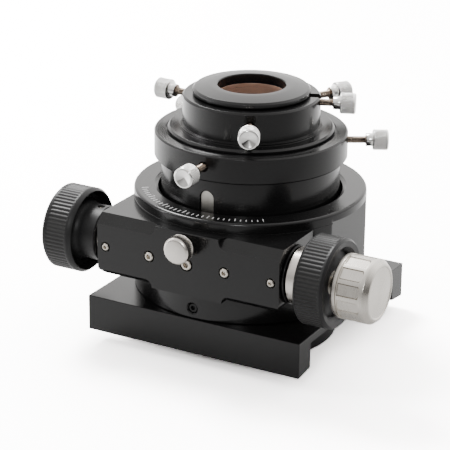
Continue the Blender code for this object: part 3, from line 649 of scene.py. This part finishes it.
def make_caps():
    """The discs at the block's two ends, and the silver housing of the reducer."""
    shaft_hole = 3.5
    profile = [(13.6, 48.6), (13.6, 47.6), (shaft_hole, 47.6), (shaft_hole, 48.6)]
    cap = aim(lathe("cap", soften(profile)), RIGHT, DRIVE)
    piece(cap, "end_cap_right", "focuser", "black_anodised", "anodised")
    profile = [(11, -47.6), (11, -50.5), (shaft_hole, -50.5), (shaft_hole, -47.6)]
    cap = aim(lathe("cap", soften(profile, 0.35)), RIGHT, DRIVE)
    piece(cap, "end_cap_left", "focuser", "silver", "silver")
    profile = [(12.4, 60.7), (13, 60.1), (13, 49.5), (12.5, 48.9), (shaft_hole, 48.9)]
    profile += [(shaft_hole, 50.5), (9.05, 50.5), (9.05, 60.7)]
    housing = aim(lathe("housing", soften(profile)), RIGHT, DRIVE)
    piece(housing, "reducer_housing", "focuser", "silver", "silver")


def make_fine_knob():
    """The silver knob: flat panels between narrow ridges, and a grub screw in its base ring."""
    rim, count = 14.7, 12
    start, end, rounding, depth = 75.0, 84.4, 1.2, 0.6
    # The thin deep groove along each panel's edge is there to carry painted shade from the
    # fine_silver finish.
    half_width, edge_width, edge_depth = 0.36, 0.032, 0.5

    def panels(angle, radius, height):
        """Panels with round ends towards the knob's face, and a thin groove along their edges."""
        if radius < rim - 0.01 or not start < height < end + rounding:
            return 0
        width = half_width
        if height > end:
            width = half_width * math.sqrt(1 - ((height - end) / rounding) ** 2)
        across = abs((angle * count / (2 * math.pi)) % 1 - 0.5)
        if across > width:
            return 0
        flat = (rim - depth) / math.cos(across * math.radians(360 / count)) - rim
        return flat - edge_depth if across > width - edge_width else flat

    heights = (85.65, 85.55, 85.4, 85.2, 84.9, 84.65, 84.4, 79.0, 75.1, 75.0, 74.95)
    profile = [(0, 89.3), (11.4, 89.2), (12.0, 89.6), (12.6, 89.5), (13.0, 89.3)]
    profile += [(rim - 0.1, 87.4), (rim, 87.1)] + [(rim, z) for z in heights]
    profile += [(rim - 0.5, 74.85), (rim - 0.5, 74.4), (rim, 74.2), (rim, 72.6)]
    profile += [(rim - 0.8, 71.8), (2.8, 71.8), (2.8, 84.4), (0, 84.4)]
    knob = aim(lathe("fine", profile, count * 40, panels, deepest=1.6), RIGHT, DRIVE)
    way = Vector((0, -0.44, -0.9)).normalized()
    spot = DRIVE + RIGHT * 80.4
    combine(knob, aim(rod(1.3, 2.6, 16, SCREW_STEPS), way, spot))
    piece(knob, "fine_knob", "fine_drive", "silver", "fine_silver", 30)
    set_screw("fine_knob_grub", "fine_drive", "steel", "steel", 1.0, 2.8, 13.6, way, spot)


def make_lock():
    rim, low, high = 6.35, 65.0, 69.2
    profile = [(0, 70.2), (4.9, 70.5), (5.7, 70.2), (rim, 69.5)] + band(rim, low, high)
    profile += [(rim, 64.6), (5.9, 64.1), (3, 64.1), (3, 62.2), (2, 62.2), (2, 47.6), (0, 47.6)]
    ribs = ribbed(LOCK_RIBS, LOCK_RIB_DEPTH, low, high, rim - 0.05)
    knob = aim(lathe("lock", profile, LOCK_RIBS * 6, ribs), FRONT, LOCK)
    piece(knob, "lock_knob", "lock", "silver", "silver", 40)


def make_front_screws():
    for name, x, radius, body in BLOCK_SCREWS:
        place = (x, 0, DRIVE.z)
        set_screw(name, body, "steel", "steel", radius, 52.1, 60.9, FRONT, place)


# ---------------------------------------------------------------- drawtube, clamp ring, adapters


def make_drawtube():
    """The tube with its front slot, and the steel strip in the slot."""
    outer, inner, low, high = 42.13, 38.4, -TUBE_BELOW_FEET, 84
    profile = [(outer, high), (outer, low), (inner, low), (inner, high)]
    tube = lathe("tube", soften(profile, 0.4), RING_STEPS)
    combine(tube, upright_slab("slot", slot_outline(3.65, -3.5, 75.5), 40, 44))
    piece(tube, "drawtube", "draw", "black_anodised", "anodised")
    strip = upright_slab("strip", slot_outline(3.35, -3.2, 75.2), 40.3, 41.15)
    piece(bevel(strip, 0.12), "track_strip", "draw", "steel", "strip")


def drill(obj, azimuth, height, low, high, face):
    """A clearance hole for a thumb screw, with a small countersink at the outer face."""
    hole = [(0, high), (2.5, high), (2.5, face), (2.05, face - 0.45), (2.05, low), (0, low)]
    combine(obj, aim(lathe("hole", hole, HOLE_STEPS), outward(azimuth), (0, 0, height)))


def make_clamp_ring():
    profile = [(44.6, 93.7), (45.33, 93.0), (45.33, 81.9), (44.7, 81.2), (42.43, 81.2)]
    profile += [(42.43, 84.3), (38.4, 84.3), (38.4, 85.8), (40.6, 85.8), (40.6, 90.4)]
    profile += [(38.4, 90.4), (38.4, 92.9), (39.9, 92.9), (39.9, 93.7)]
    ring = lathe("ring", soften(profile), RING_STEPS)
    for azimuth in THIRDS:
        drill(ring, azimuth, RING_SCREW_Z, 39.5, 48, 45.2)
    piece(ring, "clamp_ring", "draw", "black_anodised", "anodised")


def make_two_inch_adapter():
    """Flange, collar and barrel, with a notch in the collar for the small adapter's screw."""
    profile = [(31.3, 110.8), (32.17, 109.9), (32.17, 96.6), (33.3, 96.6), (33.3, 95.6)]
    profile += [(38.1, 95.6), (39.0, 94.7), (39.0, 93.2), (38.05, 93.2), (38.05, 78.0)]
    profile += [(25.5, 78.0), (25.5, 101.4), (27.3, 101.4), (27.3, 107.8), (25.5, 107.8)]
    adapter = lathe("adapter", soften(profile + [(25.5, 110.8)]), RING_STEPS)
    notch = slab("notch", [(-2.8, 24), (2.8, 24), (2.8, 36), (-2.8, 36)], 8.1)
    combine(adapter, turn_by(notch, (0, 0, NOTCH_AZIMUTH - 180), (0, 0, 108.95)))
    for azimuth in TWO_INCH_AZIMUTHS:
        drill(adapter, azimuth, TWO_INCH_SCREW_Z, 26, 36, 32.05)
    piece(adapter, "two_inch_adapter", "two_inch", "black_anodised", "anodised")


def make_small_adapter():
    """The 1.25 inch adapter and the split compression ring in its bore."""
    bore = 15.875
    profile = [(20.3, 115.2), (26.5, 114.0), (27.5, 113.1), (27.5, 111.7), (27.0, 111.1)]
    profile += [(25.2, 111.1), (25.2, 86.0), (bore, 86.0), (bore, 104.5), (17.6, 104.5)]
    profile += [(17.6, 110.7), (bore, 110.7), (bore, 114.8), (bore + 0.4, 115.2)]
    adapter = lathe("small", soften(profile, 0.15), RING_STEPS)
    drill(adapter, NOTCH_AZIMUTH, SMALL_SCREW_Z, 16.8, 27, 25.1)
    piece(adapter, "small_adapter", "small_holder", "black_anodised", "anodised")

    outer, inner, low, high = 17.3, 15.9, 104.8, 110.4
    profile = [(outer, high), (outer, low), (inner, low), (inner, high)]
    ring = lathe("ring", soften(profile, 0.15))
    gap = slab("gap", [(-1, 0), (1, 0), (1, outer + 2), (-1, outer + 2)], 40)
    combine(ring, turn_by(gap, (0, 0, NOTCH_AZIMUTH), (0, 0, (low + high) / 2)))
    piece(ring, "compression_ring_small", "small_holder", "brass", "brass")


def make_thumb_screw(node, azimuth, height, end, tip):
    """A knurled head with a dimple in its end, a plain neck, and a threaded shank."""
    rim, neck, core = 4.9, 3.05, 1.75
    diamonds, slope, knurl_depth, knurl_rows = 24, 0.78, 0.42, 40
    pitch, thread_depth, row = 0.7, 0.22, 0.12
    low, high = end - 6.6, end - 0.7
    shoulder = end - 10.5
    thread_low, thread_high = tip + 0.4, shoulder - 0.3

    def surface(angle, radius, z):
        if radius > rim - 0.05 and low < z < high:
            turn = angle * diamonds / (2 * math.pi)
            one = (turn + z * slope) % 1
            two = (turn - z * slope) % 1
            grooves = max(abs(2 * one - 1), abs(2 * two - 1))
            fade = min(1, (z - low) / 0.3, (high - z) / 0.3)
            return -knurl_depth * grooves ** 3 * fade
        if 1.5 < radius < core + 0.01 and thread_low < z < thread_high:
            turn = (z / pitch + angle / (2 * math.pi)) % 1
            return -thread_depth * abs(2 * turn - 1)
        return 0

    rows = [(0, end - 1.5), (0.6, end - 1.35), (3.5, end - 0.1), (3.8, end), (4.3, end)]
    rows.append((rim, end - 0.6))
    rows += [(rim, high - (high - low) * i / knurl_rows) for i in range(knurl_rows + 1)]
    rows += [(rim, end - 6.75), (4.4, end - 7.25), (neck, end - 7.25), (neck, shoulder + 0.25)]
    rows += [(neck - 0.25, shoulder), (core, shoulder)]
    z = thread_high
    while z > thread_low:
        rows.append((core, z))
        z -= row
    rows += [(core - 0.4, tip), (0, tip)]
    screw = lathe(node, rows, 180, surface, shoulder + 0.01)
    aim(screw, outward(azimuth), (0, 0, height))
    piece(screw, node, node, "chrome", "chrome", 50)


# ---------------------------------------------------------------- settle and ride


def settle():
    """Applies the cuts, gives each piece its finish, smooths the round faces, hangs each piece on its
    body and hides the CAD node that it stands for.
    """
    bpy.context.view_layer.update()
    graph = bpy.context.evaluated_depsgraph_get()
    settled = [bpy.data.meshes.new_from_object(entry[0].evaluated_get(graph)) for entry in pieces]
    for (obj, node, body, slot, look, sharp), mesh in zip(pieces, settled):
        obj.modifiers.clear()
        obj.data = mesh
        mesh.materials.clear()
        mesh.materials.append(FINISHES[look])
        mesh.shade_smooth()
        mesh.set_sharp_from_angle(angle=math.radians(sharp))
        normals = obj.modifiers.new("normals", "WEIGHTED_NORMAL")
        normals.keep_sharp = True
        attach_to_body(obj, body)
        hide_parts(node)
    for cutter in cutters:
        bpy.data.objects.remove(cutter, do_unlink=True)


def finish_kept_nodes():
    """Gives the CAD nodes that no piece replaces the finish of their slot."""
    replaced = {entry[1] for entry in pieces}
    slots = {part["node"]: part["material_slot"] for part in frame["record"]["subparts"]}
    for name, obj in frame["nodes"].items():
        if name not in replaced:
            look = FINISHES[CAD_FINISHES[slots[name]]]
            if not obj.material_slots:
                obj.data.materials.append(look)
            for material_slot in obj.material_slots:
                material_slot.material = look


# ---------------------------------------------------------------- floor, light, camera


def camera_switch(tree, plain, seen, kind):
    """One value, and another where the camera looks straight at the surface."""
    camera_ray = tree.nodes.new("ShaderNodeLightPath").outputs["Is Camera Ray"]
    return blend(tree, camera_ray, plain, seen, kind)


def coordinates(tree, kind):
    split = tree.nodes.new("ShaderNodeSeparateXYZ")
    tree.links.new(tree.nodes.new("ShaderNodeTexCoord").outputs[kind], split.inputs[0])
    return split.outputs


def make_floor():
    """White to the camera. To the object, dim in front on the right and bright behind on the left."""
    white = (5.8, 5.7, 5.7, 1)
    dim, bright = 0.32, 1.5
    shape = bmesh.new()
    bmesh.ops.create_grid(shape, x_segments=1, y_segments=1, size=6)
    floor = new_object("floor", shape)
    floor.location = (0, 0, -0.0003)
    material = bpy.data.materials.new("floor_white")
    material.use_nodes = True
    tree = material.node_tree
    tree.nodes.clear()
    place = coordinates(tree, "Object")
    backward = calculate(tree, "MULTIPLY_ADD", place["X"], -0.8, place["Y"])
    shade = map_range(tree, backward, -0.3, 0.6, dim, bright)
    diffuse = tree.nodes.new("ShaderNodeBsdfDiffuse")
    tree.links.new(camera_switch(tree, shade, white, "RGBA"), diffuse.inputs["Color"])
    output = tree.nodes.new("ShaderNodeOutputMaterial")
    tree.links.new(diffuse.outputs[0], output.inputs["Surface"])
    floor.data.materials.append(material)


def make_world():
    """Brighter behind, above and on the left. The camera sees an even white."""
    white = 7.0
    world = bpy.data.worlds.new("studio")
    world.use_nodes = True
    bpy.context.scene.world = world
    tree = world.node_tree
    background = tree.nodes["Background"]
    background.inputs["Color"].default_value = (1.0, 0.985, 0.97, 1)
    way = coordinates(tree, "Generated")
    behind = map_range(tree, way["Y"], -0.4, 0.9, 0.2, 2.1, "SMOOTHSTEP")
    above = map_range(tree, way["Z"], 0.0, 0.9, 0.0, 0.7, "SMOOTHSTEP")
    aside = map_range(tree, way["X"], -0.9, 0.9, 0.3, -0.2, "SMOOTHSTEP")
    strength = calculate(tree, "ADD", calculate(tree, "ADD", behind, above), aside)
    seen = camera_switch(tree, strength, white, "FLOAT")
    tree.links.new(seen, background.inputs["Strength"])


def add_light(name, place, target, size, power):
    """A rectangular light. Its place, target and size are in metres."""
    light = bpy.data.lights.new(name, "AREA")
    light.shape = "RECTANGLE"
    light.size, light.size_y = size
    light.energy = power
    obj = bpy.data.objects.new(name, light)
    bpy.context.scene.collection.objects.link(obj)
    obj.location = place
    obj.rotation_euler = (Vector(target) - Vector(place)).to_track_quat("-Z", "Y").to_euler()


def make_camera():
    """Stands off a point on the optical axis, and then tilts and pans a little, as in the photo."""
    azimuth, elevation, roll = (math.radians(angle) for angle in (28.143, 19.679, 0.805))
    tilt, pan = math.radians(1.4407), math.radians(-0.7410)
    target_height, distance = 70, 930.641
    level = math.cos(elevation)
    back = Vector((math.sin(azimuth) * level, -math.cos(azimuth) * level, math.sin(elevation)))
    side = Vector((math.cos(azimuth), math.sin(azimuth), 0))
    above = back.cross(side)
    rolled_side = side * math.cos(roll) + above * math.sin(roll)
    rolled_above = above * math.cos(roll) - side * math.sin(roll)
    view = Matrix((rolled_side, rolled_above, back))
    view = Matrix.Rotation(tilt, 3, "X") @ Matrix.Rotation(pan, 3, "Y") @ view
    data = bpy.data.cameras.new("camera")
    data.sensor_width = 36
    data.lens = 157.8
    camera = bpy.data.objects.new("camera", data)
    bpy.context.scene.collection.objects.link(camera)
    place = ORIGIN + UP * target_height * MM + back * (distance * MM)
    camera.matrix_world = Matrix.Translation(place) @ view.transposed().to_4x4()
    bpy.context.scene.camera = camera


make_base()
make_collar()
make_body()
make_front_screws()
make_caps()
make_coarse_knobs()
make_fine_knob()
make_lock()
make_drawtube()
make_clamp_ring()
make_two_inch_adapter()
make_small_adapter()
for thumb_screw in THUMB_SCREWS:
    make_thumb_screw(*thumb_screw)
settle()
make_marks()
finish_kept_nodes()
make_floor()
make_world()
add_light("key", (-0.75, 0.35, 1.1), (0, 0, 0.05), (0.45, 0.45), 22)
add_light("strip_left", (-1.0, -0.5, 0.5), (0, 0, 0.06), (0.12, 0.9), 3)
add_light("front_dot", (0.3, -1.0, 0.65), (0, 0, 0.05), (0.14, 0.14), 2.6)
make_camera()
